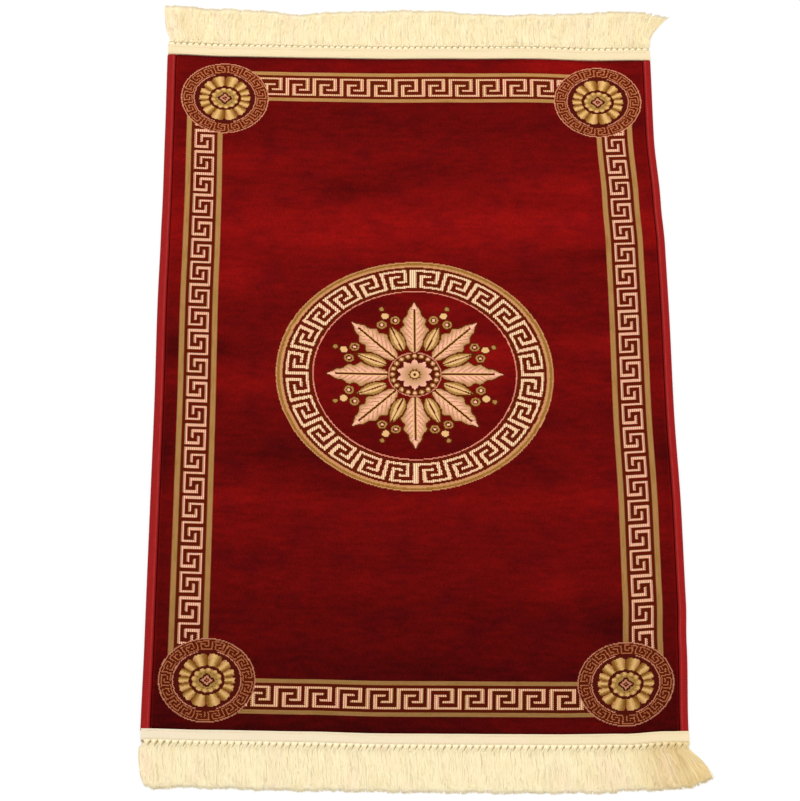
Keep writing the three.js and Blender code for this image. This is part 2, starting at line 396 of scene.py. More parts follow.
def buildPile():
    halfWidth, halfLength = rug["width"] / 2, rug["length"] / 2
    topEdge = np.array(pileBody["edgeTop"])
    underEdge = np.array(pileBody["edgeUnder"])
    inner = halfWidth - topEdge[-1, 0]
    columns = round(2 * inner / pileBody["acrossPitch"])
    level = np.linspace(-inner, inner, columns + 1)[1:-1]
    topEdgeAcross = topEdge[:, 0] - halfWidth
    topAcross = np.concatenate([topEdgeAcross, level, -topEdgeAcross[::-1]])
    topHeight = np.concatenate([topEdge[:, 1], np.full(len(level), rug["pileTop"]), topEdge[::-1, 1]])
    underCount = round(2 * inner / pileBody["underPitch"])
    underLevel = np.linspace(-inner, inner, underCount + 1)[1:-1]
    underEdgeAcross = underEdge[:, 0] - halfWidth
    underAcross = np.concatenate([underEdgeAcross, underLevel, -underEdgeAcross[::-1]])
    underHeight = np.concatenate([underEdge[:, 1], np.zeros(len(underLevel)), underEdge[::-1, 1]])

    ends = np.array(pileBody["endTop"])
    endAlong = halfLength - ends[:, 0]
    rows = round(2 * endAlong[0] / pileBody["alongPitch"])
    freeAlong = np.linspace(-endAlong[0], endAlong[0], rows + 1)[1:-1]
    stations = np.concatenate([-endAlong[::-1], freeAlong, endAlong])
    limits = np.concatenate([ends[::-1, 1], np.full(len(freeAlong), np.inf), ends[:, 1]])

    ringAcross = np.concatenate([underAcross, topAcross[::-1]])
    ringHeight = np.concatenate([underHeight, topHeight[::-1]])
    isTop = np.concatenate([np.zeros(len(underAcross), bool), np.ones(len(topAcross), bool)])
    across, along = np.meshgrid(ringAcross, stations)
    height = np.tile(ringHeight, (len(stations), 1))
    full = isTop[None, :] & (height >= rug["pileTop"] - 0.01)
    firstWave, secondWave = pileBody["softWaves"]
    softWave = firstWave * np.sin(across / 31 + 1.3 * np.sin(along / 57))
    softWave = softWave + secondWave * np.sin(along / 19 + across / 83)
    tufts = chance.normal(0, pileBody["tuftUneven"], height.shape)
    height = height + full * (rollLift(along) + softWave + tufts)
    height = np.minimum(height, limits[:, None])
    x, y = layOut(across, along)
    points = np.stack([x, y, height], -1).reshape(-1, 3)
    size = len(ringAcross)
    faces = wallFaces(len(stations), size).tolist()
    faces.append(list(range(size))[::-1])
    faces.append([(len(stations) - 1) * size + spot for spot in range(size)])
    cloth = np.stack([across, along, np.broadcast_to(isTop, across.shape)], -1)

    # the face fills one side of the bake, the back the rest
    def bakePlace(scale, startAcross, startAlong):
        span = pileBody["bakeSpan"]
        atAcross = (across + halfWidth) / span * scale + startAcross
        atAlong = (along + span / 2) / span * scale + startAlong
        return np.stack([atAcross, atAlong], -1).reshape(-1, 2)

    topPlace = bakePlace(*pileBody["bakeFace"])
    backPlace = bakePlace(*pileBody["bakeBack"])
    topFlag = np.tile(isTop, len(stations))

    def bakePlaces(corners):
        places = topPlace[corners]
        walls = (len(stations) - 1) * size
        onBack = ~topFlag[corners[: walls * 4]].reshape(-1, 4)
        back = np.zeros(len(corners), bool)
        back[: walls * 4] = np.repeat(onBack.all(1), 4)
        places[back] = backPlace[corners[back]]
        return places

    # the pile carries its painted sheen and its painted shade as numbers
    return makePiece(
        "rug_pile", points, faces, "pile_body", vectors={"cloth": cloth}, uv=bakePlaces,
        numbers={"nap": napSheenAt(across, along), "shade": readTable(paintedDesignShade, 1, along)},
    )


# The woven design, in millimetres of flat cloth from the rug's middle.

design = {
    "tuft": (0.99, 1.1),  # one tuft, across and along
    # one repeat of the meander: light lines and dark gaps in turn, seven rows by eight columns
    "meander": ["11111011", "00001010", "11101010", "10001010", "10111010", "10000010", "11111110"],
    "repeat": 28.0,
    # Each band: its middle line, how far both are shifted, half the meander's height, gold stripe from
    # and to, share of a line in a line and its gap by column and by row, where a repeat starts.
    # The medallions are "squeeze" as wide and "squash" as long as a true circle, and "slip" to the right.
    # The ring is closed by one bar wider than the rest, and "seam" narrows the key before it.
    # Where the two ends of the rug differ, the near one comes first.
    "side": {
        "middle": 209.6, "shift": -0.5, "half": 10.1, "gold": (13.3, 18.4), "lines": (0.41, 0.39),
        "starts": (14.4, 15.1),
    },
    "end": {
        "middles": (-364.1, 360.2), "half": (10.9, 11.1), "gold": ((14.6, 18.4), (14.4, 19.3)),
        "lines": (0.50, 0.33), "starts": (17.3, 18.9),
    },
    "corner": {
        "across": (192.3, 191.8), "slip": (0.4, 1.5), "along": 345.8, "shift": -2.5,
        "squeeze": (0.962, 0.97), "squash": (0.965, 0.99), "keys": 17,
        "track": (34.2, 43.7), "lines": (0.3, 0.35),
        "well": 33.4, "outside": 46.4,  # radius of the flower's ground, and of the whole medallion
    },
    "ring": {
        "across": 0.1, "along": -0.3, "squeeze": 0.985, "keys": 24, "start": 2.8,
        "track": (104.6, 126.8), "lines": (0.46, 0.37), "wideBar": (-3.6, 2.1), "seam": 0.2,
        "inside": 99.5, "outside": 137.4,  # radius where its ground begins, and past its gold stripes
    },
}

pileDyes = {
    "crimson": dye(150, 14, 11),
    # the field's painted shade, where the pile's lean reads dark
    "shadedCrimson": dye(38, 1, 1),
    "purple": dye(84, 3, 15),
    "brown": dye(90, 26, 3),
    "redBrown": dye(98, 15, 3),
    "gold": dye(164, 123, 64),
    "rosyGold": dye(184, 130, 84),
    "ochre": dye(142, 92, 34),
    "cream": dye(224, 176, 118),
    "peach": dye(246, 180, 154),
    "ivory": dye(244, 206, 158),
    "petal": dye(206, 158, 92),
    "petalLight": dye(220, 175, 112),
    "petalGap": dye(124, 64, 18),
    "copper": dye(182, 106, 68),
    "paleCopper": dye(200, 130, 98),
    "pinkLine": dye(212, 130, 106),
    "maroon": dye(78, 16, 8),
    "ink": dye(64, 18, 6),
    "olive": dye(124, 90, 28),
    "backing": dye(168, 146, 116),
}


def meanderLight(tree, columnAt, rowAt, columnLine, rowLine):
    # 1 where the meander's light line runs. Both places count lines with their gaps, four to a repeat.
    turn = columnAt % 4
    pair = turn.whole()
    column = pair * 2 + calc(tree, "GREATER_THAN", turn - pair, columnLine)
    deep = rowAt.whole()
    row = deep * 2 + calc(tree, "GREATER_THAN", rowAt - deep, rowLine)
    spot = (row * 8 + column + 0.5) / 56
    chart = "".join(design["meander"])
    ramp = tree.nodes.new("ShaderNodeValToRGB")
    ramp.color_ramp.interpolation = "CONSTANT"
    turns = [at for at in range(len(chart)) if at == 0 or chart[at] != chart[at - 1]]
    stops = ramp.color_ramp.elements
    while len(stops) < len(turns):
        stops.new(0.5)
    for stop, at in zip(stops, turns):
        stop.position = at / 56
        stop.color = (1, 1, 1, 1) if chart[at] == "1" else (0, 0, 0, 1)
    tree.links.new(spot.socket, ramp.inputs[0])
    return Wire(tree, ramp.outputs[0])


def polar(tree, x, y):
    # angle in degrees clockwise from +y, and the distance out
    angle = calc(tree, "ARCTAN2", x, y) * (180 / math.pi)
    radius = calc(tree, "SQRT", x * x + y * y)
    return angle, radius


def wedge(tree, angle, radius, count, turn):
    # folds a circle into one of its equal wedges: sideways and outward from the wedge's middle line
    each = 360 / count
    slant = ((angle + (each / 2 - turn)) % each - each / 2) * (math.pi / 180)
    return radius * slant.sine(), radius * calc(tree, "COSINE", slant)


def leafWidth(tree, out, start, end, halfWidth, fullness, lobes=0, lobeDepth=0.0):
    # half width of a pointed leaf at a distance out, and how far along the leaf that is
    share = calc(tree, "MAXIMUM", calc(tree, "MINIMUM", (out - start) / (end - start), 1), 0)
    width = (share ** fullness * math.pi).sine() * halfWidth
    if lobes:
        width = width * (1 + (share * (2 * math.pi * lobes)).sine() * lobeDepth)
    return width, share


def drawRosette(tree, colour, dyes, angle, radius):
    # the middle ornament: eight lobed leaves round a daisy, small leaves, scrolls and pearls between them
    x, y = wedge(tree, angle, radius, 8, 0)
    side = abs(x)
    width, share = leafWidth(tree, y, 25, 87, 12.5, 0.8, lobes=5, lobeDepth=0.13)
    colour = paint(tree, colour, side.below(width + 1.7) * y.between(24, 88), dyes["brown"])
    body = side.below(width) * y.between(25, 87)
    leaf = paint(tree, dyes["peach"], (side / calc(tree, "MAXIMUM", width, 1)) ** 2, dyes["gold"])
    veins = ((y - side * 1.3) % 6.2).below(1.7) * side.above(1.5)
    leaf = paint(tree, leaf, veins, dyes["rosyGold"])
    leaf = paint(tree, leaf, side.below(1.1) * share.below(0.86), dyes["brown"])
    leaf = paint(tree, leaf, side.between(1.1, 2.3) * share.below(0.8), dyes["cream"])
    colour = paint(tree, colour, body, leaf)

    x, y = wedge(tree, angle, radius, 8, 22.5)
    side = abs(x)
    width, share = leafWidth(tree, y, 30, 63, 6.6, 0.75)
    colour = paint(tree, colour, side.below(width + 1.5) * y.between(29, 65), dyes["brown"])
    small = paint(tree, dyes["gold"], side.below(width * 0.55), dyes["cream"])
    small = paint(tree, small, side.below(0.7), dyes["brown"])
    colour = paint(tree, colour, side.below(width) * y.between(30, 63), small)

    curl = calc(tree, "SQRT", (side - 7.2) ** 2 + (y - 67) ** 2)
    colour = paint(tree, colour, curl.below(5.6), dyes["brown"])
    colour = paint(tree, colour, curl.between(2.9, 4.7), dyes["gold"])
    colour = paint(tree, colour, curl.below(1.5), dyes["peach"])
    for out, size, tone in ((75.5, 3.6, "cream"), (84.5, 2.2, "gold")):
        pearl = calc(tree, "SQRT", x * x + (y - out) ** 2)
        colour = paint(tree, colour, pearl.below(size + 1.3), dyes["brown"])
        colour = paint(tree, colour, pearl.below(size), dyes[tone])

    colour = paint(tree, colour, radius.below(27), dyes["brown"])
    colour = paint(tree, colour, radius.between(25.2, 26.2), dyes["pinkLine"])
    x, y = wedge(tree, angle, radius, 20, 0)
    bead = calc(tree, "SQRT", x * x + (y - 22) ** 2)
    colour = paint(tree, colour, bead.below(2.5), dyes["gold"])
    colour = paint(tree, colour, bead.below(1.2), dyes["peach"])
    colour = paint(tree, colour, radius.below(18.2), dyes["maroon"])
    x, y = wedge(tree, angle, radius, 10, 0)
    width, share = leafWidth(tree, y, 4, 18, 4.1, 1.1)
    daisy = paint(tree, dyes["gold"], share, dyes["peach"])
    colour = paint(tree, colour, abs(x).below(width) * y.above(4), daisy)
    colour = paint(tree, colour, radius.below(5.4), dyes["brown"])
    colour = paint(tree, colour, radius.below(4.2), dyes["cream"])
    return paint(tree, colour, radius.below(1.6), dyes["brown"])


def drawMedallion(tree, colour, dyes, angle, radius, x, y, light):
    # a corner medallion: fine meander ring, fourteen petals, flower disc with a star
    inner, outer = design["corner"]["track"]
    colour = paint(tree, colour, radius.below(design["corner"]["outside"]), dyes["brown"])
    colour = paint(tree, colour, light * radius.between(inner, outer), dyes["copper"])
    colour = paint(tree, colour, radius.between(45.2, 46.3), dyes["paleCopper"])
    colour = paint(tree, colour, radius.below(design["corner"]["well"]), dyes["maroon"])
    colour = paint(tree, colour, radius.between(32.1, 33.1) * abs(x).above(9.5), dyes["paleCopper"])

    # petals: a little wider at top and bottom, square-ended, light on one side
    turn = calc(tree, "ARCTAN2", x * 0.75, y) * (14 / (2 * math.pi))
    across = turn - turn.whole()
    reach = calc(tree, "SQRT", (x / 26.8) ** 2 + (y / 29.6) ** 2)
    hollow = calc(tree, "SQRT", (x / 17.2) ** 2 + (y / 16.2) ** 2)
    notch = abs(across - 0.5)
    ends = 0.99 + notch * 0.1 - (notch ** 4) * 3.0
    gap = calc(tree, "DIVIDE", 0.62 * 14 / (2 * math.pi), calc(tree, "MAXIMUM", radius, 1))
    inPetals = reach.below(ends) * hollow.above(1.0)
    petals = inPetals * notch.below(0.5 - gap)
    petal = paint(tree, dyes["gold"], across.between(0.2, 0.62), dyes["petal"])
    petal = paint(tree, petal, across.between(0.32, 0.5), dyes["petalLight"])
    petal = paint(tree, petal, across.below(0.2) * reach.above(0.78), dyes["rosyGold"])
    petal = paint(tree, petal, across.above(0.76), dyes["ochre"])
    petal = paint(tree, petal, across.above(0.86) * reach.below(0.84), dyes["olive"])
    colour = paint(tree, colour, inPetals, dyes["petalGap"])
    colour = paint(tree, colour, petals, petal)

    # flower disc with twelve scallops
    scallop = (angle * (12 * math.pi / 180)).sine()
    disc = calc(tree, "SQRT", (x / 14.0) ** 2 + (y / 13.1) ** 2) - scallop * 0.045
    colour = paint(tree, colour, disc.below(1.0), dyes["gold"])
    colour = paint(tree, colour, disc.between(0.74, 0.98) * scallop.above(-0.4), dyes["petal"])
    colour = paint(tree, colour, disc.between(0.84, 0.96) * scallop.above(0.55), dyes["petalLight"])
    colour = paint(tree, colour, disc.between(0.66, 0.74) * scallop.below(-0.3), dyes["olive"])

    # four-lobed outline, four-pointed star and a small diamond
    fourfold = (angle * (4 * math.pi / 180) + math.pi / 2).sine()
    sides = abs(x) + abs(y)
    star = sides + calc(tree, "MINIMUM", abs(x), abs(y)) * 0.3
    colour = paint(tree, colour, (radius - fourfold * 1.1).below(6.7), dyes["ink"])
    colour = paint(tree, colour, star.below(5.9), dyes["paleCopper"])
    colour = paint(tree, colour, sides.below(2.9), dyes["ink"])
    return paint(tree, colour, sides.below(1.1), dyes["copper"])


def pileMaterial():
    material, tree, shader = newMaterial("crimson_and_gold_pile")
    dyes = pileDyes
    across, along, face = readVector(tree, "cloth")
    tuftWide, tuftLong = design["tuft"]
    rowNumber = (along / tuftLong).whole()
    stagger = (rowNumber % 2).above(0.5) * 0.5
    columnNumber = (across / tuftWide + stagger).whole()
    u = (columnNumber - stagger + 0.5) * tuftWide
    v = (rowNumber + 0.5) * tuftLong

    # places within the bands, the corner medallions and the ring
    side, end, corner, ring = design["side"], design["end"], design["corner"], design["ring"]
    isFar = v.above(0)

    def byEnd(pair):
        return pick(tree, isFar, pair[1], pair[0])

    sideAt = u - ((u + 0.2).sign() * side["middle"] + side["shift"])
    endAt = v - byEnd(end["middles"])
    endHalf = byEnd(end["half"])
    endGold = abs(endAt).above(byEnd([gold[0] for gold in end["gold"]]))
    endReach = abs(endAt).below(byEnd([gold[1] for gold in end["gold"]]))
    cornerAcross = byEnd(corner["across"])
    cornerX = (abs(u - byEnd(corner["slip"])) - cornerAcross) / byEnd(corner["squeeze"])
    cornerY = (abs(v - corner["shift"]) - corner["along"]) / byEnd(corner["squash"])
    cornerAngle, cornerRadius = polar(tree, cornerX, cornerY)
    ringX = (u - ring["across"]) / ring["squeeze"]
    ringAngle, ringRadius = polar(tree, ringX, v - ring["along"])
    inSide = abs(sideAt).below(side["gold"][1]) * cornerY.below(0)
    inEnd = endReach * abs(u).below(cornerAcross)
    inCorner = cornerRadius.below(corner["outside"])
    inRing = ringRadius.below(ring["outside"])

    def byZone(sideValue, endValue, ringValue, cornerValue):
        value = pick(tree, inEnd, endValue, sideValue)
        value = pick(tree, inRing, ringValue, value)
        return pick(tree, inCorner, cornerValue, value)

    # one chart serves all the meanders; along the side bands it lies on its side
    def rowsOf(zone, medallionShade, height):
        return calc(tree, "DIVIDE", medallionShade * (3 + zone["lines"][1]), height)

    sideStart = pick(tree, u.above(0), side["starts"][1], side["starts"][0])
    # the ring's last key before the wide bar is narrower than the rest
    seam = ringX.below(-2) * calc(tree, "MINIMUM", calc(tree, "MAXIMUM", (ringX + 13) / 7, 0), 1)
    columnAt = byZone(
        (sideStart - v) * (4 / design["repeat"]),
        (u - byEnd(end["starts"])) * (4 / design["repeat"]),
        (ringAngle - ring["start"]) * (4 * ring["keys"] / 360) + seam * v.sign() * ring["seam"],
        cornerAngle * (4 * corner["keys"] / 360),
    )
    rowAt = byZone(
        rowsOf(side, sideAt + side["half"], 2 * side["half"]),
        rowsOf(end, endHalf - endAt, endHalf * 2),
        rowsOf(ring, ring["track"][1] - ringRadius, ring["track"][1] - ring["track"][0]),
        rowsOf(corner, corner["track"][1] - cornerRadius, corner["track"][1] - corner["track"][0]),
    )
    columnLine = byZone(side["lines"][0], end["lines"][0], ring["lines"][0], corner["lines"][0])
    rowLine = byZone(side["lines"][1], end["lines"][1], ring["lines"][1], corner["lines"][1])
    light = meanderLight(tree, columnAt, rowAt, columnLine, rowLine)

    # the plain field with painted sheen and shade by the lean of its pile: broad clouds, drifts brushed
    # across it, short flecks
    place = vector(tree, across, along)
    clouds = noise(tree, vector(tree, across * 0.012, along * 0.035), 1.0, 3.0)
    drifts = noise(tree, vector(tree, across * 0.05, along * 0.17), 1.0, 4.0, 0.6)
    flecks = noise(tree, vector(tree, across * 0.9, along * 0.16), 1.0, 2.0)
    grain = speckle(tree, vector(tree, columnNumber, rowNumber))
    leanSheen = readNumber(tree, "nap")
    wander = (clouds - 0.5) * 0.3 + (drifts - 0.5) * 0.6 + (flecks - 0.5) * 0.35 + (grain - 0.5) * 0.1
    nap = leanSheen + wander * (leanSheen + 0.35)
    # painted highlight on the outermost tufts, against the shade of the gap beside the overcast edge
    nap = nap + abs(u).above(239.9) * 0.16
    # painted sheen and shade: the field runs from its shaded crimson to its lit crimson by the pile's lean
    field = paint(tree, dyes["shadedCrimson"], nap, dyes["crimson"])
    purpleAt = noise(tree, place, 0.03, 2.0)
    field = paint(tree, field, (purpleAt - 0.48) * 1.5, shaded(tree, dyes["purple"], nap + 0.2))
    colour = field

    # light yarns alternate tuft by tuft across the cloth, and no two lengths of yarn took the dye alike
    yarnTurn = (columnNumber % 2).above(0.5)
    lot = noise(tree, vector(tree, across * 0.045, along * 0.045, 3.0), 1.0, 2.0)
    lot = (lot - 0.5) * 3.0
    # painted shade on the design, darker towards the near end
    shade = readNumber(tree, "shade")
    beads = (across * (math.pi / tuftWide)).sine() * 0.46
    lightYarn = paint(tree, dyes["cream"], yarnTurn * 0.8 + lot * 0.35 + inSide * 0.3, dyes["peach"])
    # the light yarns take less of the painted shade towards the near end
    lightYarn = shaded(tree, lightYarn, (0.97 - beads) * (1.7 - shade * 0.815))
    ringYarn = paint(tree, dyes["ivory"], yarnTurn * 0.6 + lot * 0.3, dyes["peach"])
    ringYarn = shaded(tree, ringYarn, beads * 0.8 + 0.87)
    lengthwise = vector(
        tree, across * pick(tree, inEnd, 0.04, 0.8), along * pick(tree, inEnd, 0.8, 0.04), 9.0,
    )
    thread = (noise(tree, lengthwise, 1.0, 2.0) - 0.5) * 3.2
    goldYarn = paint(tree, dyes["gold"], yarnTurn * 0.3 + thread * 0.6 + 0.2, dyes["rosyGold"])
    goldYarn = paint(tree, goldYarn, lot * 0.4 - thread * 0.4, dyes["ochre"])
    ground = paint(tree, dyes["brown"], 0.4 + lot * 0.6, dyes["redBrown"])

    inBands = inSide.orElse(inEnd)
    stripe = inSide * abs(sideAt).between(*side["gold"])
    stripe = stripe.orElse(inEnd * endGold)
    track = inSide * abs(sideAt).below(side["half"])
    track = track.orElse(inEnd * abs(endAt).below(endHalf))
    colour = paint(tree, colour, inBands, ground)
    colour = paint(tree, colour, stripe, goldYarn)
    colour = paint(tree, colour, track * light, lightYarn)
    # painted shade over the bands, darker towards the near end
    colour = shaded(tree, colour, pick(tree, inBands, shade, 1.0))

    colour = paint(tree, colour, ringRadius.between(ring["inside"], 136.3), ground)
    colour = paint(tree, colour, ringRadius.between(129.9, 136.4), shaded(tree, dyes["rosyGold"], 1.12))
    dullGold = paint(tree, dyes["ochre"], grain * 0.5, dyes["gold"])
    colour = paint(tree, colour, ringRadius.between(132.6, 135.3), dullGold)
    wideBar = (ringX + v.sign() * 0.8).above(ring["wideBar"][0]) * ringX.below(ring["wideBar"][1])
    bars = ringRadius.between(*ring["track"]) * light.orElse(wideBar)
    colour = paint(tree, colour, bars, ringYarn)
    innerLine = ringRadius.between(ring["inside"], ring["inside"] + 1.1)
    colour = paint(tree, colour, innerLine, shaded(tree, dyes["pinkLine"], 1.1))
    colour = drawRosette(tree, colour, dyes, ringAngle, ringRadius)
    medallion = drawMedallion(tree, colour, dyes, cornerAngle, cornerRadius, cornerX, cornerY, light)
    # painted shade over the medallions, darker towards the near end
    medallionShade = pick(tree, cornerRadius.below(corner["well"]), shade * 0.48 + 0.52, shade * 0.86 + 0.17)
    colour = paint(tree, colour, inCorner, shaded(tree, medallion, medallionShade))

    # single tufts differ a little, and the back shows the same design dulled by the ground cloth
    colour = shaded(tree, colour, 0.93 + grain * 0.14)
    ribs = ((along * (2 * math.pi / 2.2)).sine() * 0.12) + 0.9
    back = shaded(tree, paint(tree, colour, 0.45, dyes["backing"]), ribs)
    colour = paint(tree, back, face.above(0.5), colour)
    tree.links.new(colour.socket, shader.inputs["Base Color"])

    shader.inputs["Roughness"].default_value = 0.85
    shader.inputs["Specular IOR Level"].default_value = 0.03
    shader.inputs["Sheen Weight"].default_value = 0.02
    shader.inputs["Sheen Roughness"].default_value = 0.4
    shader.inputs["Sheen Tint"].default_value = (*dye(255, 70, 60), 1)
    tuftTop = (across * (math.pi / tuftWide)).sine() * (along * (math.pi / tuftLong)).sine()
    bump(tree, shader, abs(tuftTop) + grain * 0.6 + flecks * 0.8, 0.35, 0.0004)
    return material


pile = buildPile()
pile.data.materials.append(pileMaterial())


overcast = {
    "wrapPitch": 2.1,  # between turns of the yarn
    "wrapHeight": 0.28,
    "slant": 1.3,  # how far a turn runs on along the edge as it goes over
    "step": 0.7,
    # in from the edge, height: round the yarn and back through the slot that holds the selvedge
    "outline": [
        (8.0, 0), (6.0, 0), (4.0, 0), (1.8, 0), (0.9, 0.4), (0.35, 1.2), (0.0, 2.6), (0.3, 4.0), (0.9, 4.9),
        (1.8, 5.5), (3.0, 5.8), (4.2, 5.9), (5.4, 5.95), (6.6, 5.9), (7.6, 5.8), (7.97, 5.3), (8.0, 3.4),
        (2.7, 3.4), (2.7, 1.2), (8.0, 1.2),
    ],
    "skin": 17,  # the first points, which are wrapped
    "core": (4.2, 2.6),  # the middle that the turns go round
    "bulge": {-1: 0.8, 1: 0.1},  # how much fuller each edge is than its slot
}

overcastDyes = {
    "red": dye(163, 22, 20),
    # dark red of uneven wear, and the painted shade between the turns of the yarn
    "darkRedAndTurnShade": dye(104, 5, 8),
    "paleLine": dye(176, 52, 48),
}


def buildOvercast(name, node, side):
    halfWidth, halfLength = rug["width"] / 2, rug["length"] / 2
    outline = np.array(overcast["outline"], float)
    steps = round(2 * halfLength / overcast["step"])
    stations = np.linspace(-halfLength, halfLength, steps + 1)
    size = len(outline)
    turn = np.linspace(0, 1, overcast["skin"])
    turn = np.concatenate([turn, np.ones(size - overcast["skin"])])
    wrapped = np.concatenate([np.ones(overcast["skin"]), np.zeros(size - overcast["skin"])])
    outward = outline - np.array(overcast["core"])
    outward = outward / np.linalg.norm(outward, axis=1, keepdims=True)
    phase = stations[:, None] + overcast["slant"] * turn[None, :] + 0.25 * np.sin(stations[:, None] / 37)
    ridge = np.abs(np.sin(math.pi * phase / overcast["wrapPitch"])) - 0.6
    wander = chance.normal(0, 0.03, ridge.shape)
    push = (ridge * overcast["wrapHeight"] + wander) * wrapped * (outline[:, 1] > 0.1)
    push[:, overcast["skin"] - 1] = 0
    inward = outline[None, :, 0] + push * outward[None, :, 0]
    height = outline[None, :, 1] + push * outward[None, :, 1]
    inward = np.clip(inward, 0, 8.0)
    inward = inward - overcast["bulge"][side] * np.clip(1 - inward / 4, 0, 1)
    across = side * (halfWidth - inward)
    along = np.broadcast_to(stations[:, None], across.shape)
    x, y = layOut(across, along)
    points = np.stack([x, y, height], -1).reshape(-1, 3)
    faces = wallFaces(len(stations), size).tolist()
    faces.append(list(range(size))[::-1])
    faces.append([(len(stations) - 1) * size + spot for spot in range(size)])
    inwards, turns, shares = [
        np.broadcast_to(row, across.shape) for row in (outline[:, 0], turn, np.linspace(0.02, 0.98, size))
    ]
    yarn = np.stack([inwards, along, turns], -1)
    places = np.stack([shares, (along + halfLength) / rug["length"]], -1)
    return makePiece(
        name, points, faces, node, vectors={"yarn": yarn},
        uv=places.reshape(-1, 2), flip=side > 0,
    )


def overcastMaterial():
    material, tree, shader = newMaterial("overcast_yarn")
    dyes = overcastDyes
    inward, along, turn = readVector(tree, "yarn")
    wrap = along + turn * overcast["slant"] + (along / 37).sine() * 0.25
    ridge = abs((wrap * (math.pi / overcast["wrapPitch"])).sine())
    wear = noise(tree, vector(tree, inward * 0.4, along * 0.08), 1.0, 3.0)
    fibre = noise(tree, vector(tree, inward * 0.6, along * 3.0), 1.0, 2.0)
    # painted shade between the turns of the yarn with lighter tops, mixed with uneven wear
    colour = paint(tree, dyes["darkRedAndTurnShade"], ridge * 0.55 + wear * 0.6, dyes["red"])
    colour = paint(tree, colour, inward.between(5.2, 6.6) * (wear * 0.7), dyes["paleLine"])
    # painted shade on the inner shoulder beside the gap to the pile
    colour = shaded(tree, colour, 0.9 + fibre * 0.22 - inward.above(6.4) * 0.26)
    tree.links.new(colour.socket, shader.inputs["Base Color"])
    shader.inputs["Roughness"].default_value = 0.6
    shader.inputs["Specular IOR Level"].default_value = 0.08
    shader.inputs["Sheen Weight"].default_value = 0.03
    shader.inputs["Sheen Tint"].default_value = (*dye(255, 90, 80), 1)
    bump(tree, shader, fibre, 0.4, 0.0002)
    return material


yarnFinish = overcastMaterial()
leftEdge = buildOvercast("overcast_edge_left", "side_overcast_left", -1)
rightEdge = buildOvercast("overcast_edge_right", "side_overcast_right", 1)
for edge in (leftEdge, rightEdge):
    edge.data.materials.append(yarnFinish)


tape = {
    "ribPitch": 1.25,  # weft ribs across the tape
    "ribHeight": 0.07,
    "step": 0.42,
    # out from the pile's end, height
    "top": [
        (0.3, 2.7), (0.3, 4.6), (0.32, 6.5), (0.6, 6.95), (1.2, 6.95), (1.8, 6.85), (2.3, 6.6), (2.6, 6.35),
        (3.0, 6.5), (4.0, 6.35), (5.0, 6.2), (6.0, 6.1), (6.5, 5.95), (7.0, 6.0), (8.0, 5.9), (9.0, 5.8),
        (10.0, 5.6), (10.5, 5.45), (11.0, 5.45), (11.9, 5.35), (12.3, 5.3), (12.4, 5.1), (12.4, 2.0),
        (12.4, 0),
    ],
    "under": [(9.3, 0), (9.3, 2.7)],
    "face": (3, 21),  # which points of the top line are woven and stitched
    "whiteness": (0.30, 0.0013),  # of the near tape: in its middle, and lost for each mm to the right
    "hem": (9.3, {1: 1.58, -1: 0.42}),  # beyond here each tape is this much wider or narrower
    "seams": (2.6, 10.5),  # where the stitch lines run
    "stitch": {"pitch": 3.1, "length": 2.3, "radius": 0.26},
}

tapeDyes = {
    "cotton": dye(235, 217, 175),
    "shade": dye(226, 206, 158),
    "rosy": dye(245, 216, 182),
    "white": dye(236, 222, 200),
}


def capsule(points, start, end, radius, sides=6):
    # adds a rounded stitch between two points: five rings and two closed ends
    axis = end - start
    along = axis / np.linalg.norm(axis)
    sideways = np.cross(along, [0, 0, 1.0])
    sideways = sideways / np.linalg.norm(sideways)
    up = np.cross(sideways, along)
    first = len(points)
    for share, size in ((0, 0.45), (0.15, 0.85), (0.5, 1.0), (0.85, 0.85), (1, 0.45)):
        arch = 0.18 * math.sin(math.pi * share)
        for spot in range(sides):
            angle = 2 * math.pi * spot / sides
            off = sideways * math.cos(angle) + up * math.sin(angle)
            points.append(start + axis * share + off * radius * size + np.array([0, 0, arch]))
    faces = wallFaces(5, sides, first).tolist()
    faces.append([first + spot for spot in range(sides)][::-1])
    faces.append([first + 4 * sides + spot for spot in range(sides)])
    return faces


def hemmed(outward, end):
    hem, shares = tape["hem"]
    return np.where(outward > hem, hem + (outward - hem) * shares[end], outward)


